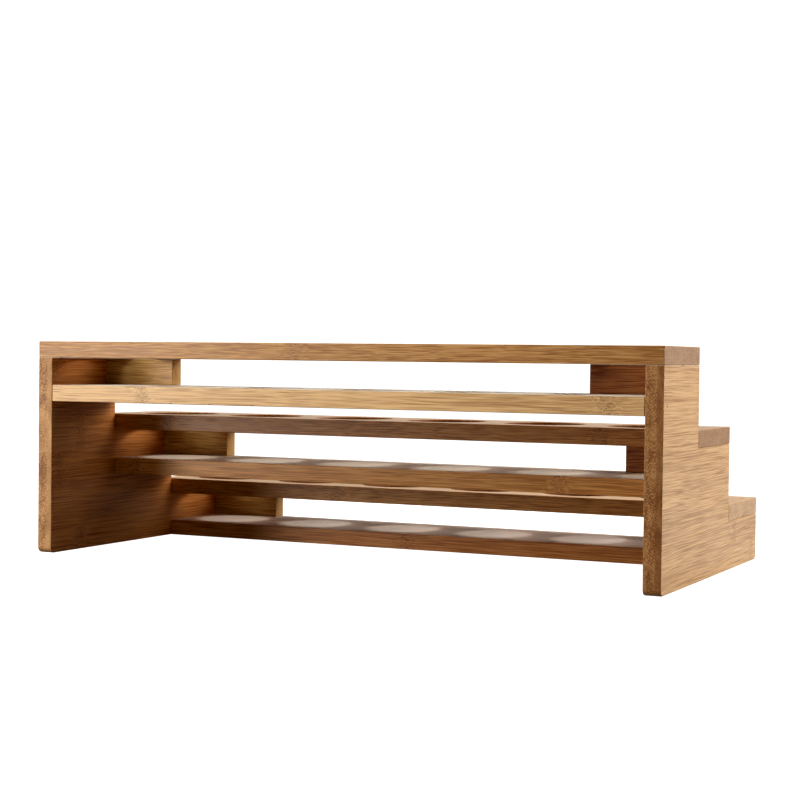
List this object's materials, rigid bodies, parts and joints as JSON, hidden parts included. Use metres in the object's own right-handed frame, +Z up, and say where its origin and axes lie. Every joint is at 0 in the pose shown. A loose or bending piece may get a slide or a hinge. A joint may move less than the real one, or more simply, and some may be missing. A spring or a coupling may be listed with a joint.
{
  "type": "spice rack",
  "caption": "Stepped countertop rack in bamboo board: pierced upper boards over plain lower boards hold round spice jars upright in rising tiers.",
  "frame": {"origin": "middle of the rack's footprint, on the surface it stands on", "axes": "+X along the rack's length, +Y from its low front to its tall back, +Z up"},
  "size_m": [0.393, 0.1986, 0.1288],
  "materials": {
    "panel_bamboo": "carbonised bamboo board, clear semi-gloss lacquer",
    "upper_bamboo": "carbonised bamboo board, clear semi-gloss lacquer",
    "lower_bamboo": "lighter bamboo board, clear semi-gloss lacquer",
    "plate_bamboo": "carbonised bamboo board, clear semi-gloss lacquer",
    "brad_steel": "bright steel wire, dulled"
  },
  "bodies": {
    "root": {"side_panel_left": "panel_bamboo", "side_panel_right": "panel_bamboo", "front_upper_board": "upper_bamboo", "front_lower_board": "lower_bamboo", "front_plate_left": "plate_bamboo", "front_plate_right": "plate_bamboo", "front_plate_left_brad": "brad_steel", "front_lower_brad_left_fore": "brad_steel", "front_lower_brad_left_aft": "brad_steel", "front_upper_brad_left_fore": "brad_steel", "front_upper_brad_left_aft": "brad_steel", "front_plate_right_brad": "brad_steel", "front_lower_brad_right_fore": "brad_steel", "front_lower_brad_right_aft": "brad_steel", "front_upper_brad_right_fore": "brad_steel", "front_upper_brad_right_aft": "brad_steel", "middle_upper_board": "upper_bamboo", "middle_lower_board": "lower_bamboo", "middle_plate_left": "plate_bamboo", "middle_plate_right": "plate_bamboo", "middle_plate_left_brad": "brad_steel", "middle_lower_brad_left_fore": "brad_steel", "middle_lower_brad_left_aft": "brad_steel", "middle_upper_brad_left_fore": "brad_steel", "middle_upper_brad_left_aft": "brad_steel", "middle_plate_right_brad": "brad_steel", "middle_lower_brad_right_fore": "brad_steel", "middle_lower_brad_right_aft": "brad_steel", "middle_upper_brad_right_fore": "brad_steel", "middle_upper_brad_right_aft": "brad_steel", "rear_upper_board": "upper_bamboo", "rear_lower_board": "lower_bamboo", "rear_plate_left": "plate_bamboo", "rear_plate_right": "plate_bamboo", "rear_plate_left_brad": "brad_steel", "rear_lower_brad_left_fore": "brad_steel", "rear_lower_brad_left_aft": "brad_steel", "rear_upper_brad_left_fore": "brad_steel", "rear_upper_brad_left_aft": "brad_steel", "rear_plate_right_brad": "brad_steel", "rear_lower_brad_right_fore": "brad_steel", "rear_lower_brad_right_aft": "brad_steel", "rear_upper_brad_right_fore": "brad_steel", "rear_upper_brad_right_aft": "brad_steel"}
  },
  "joints": []
}
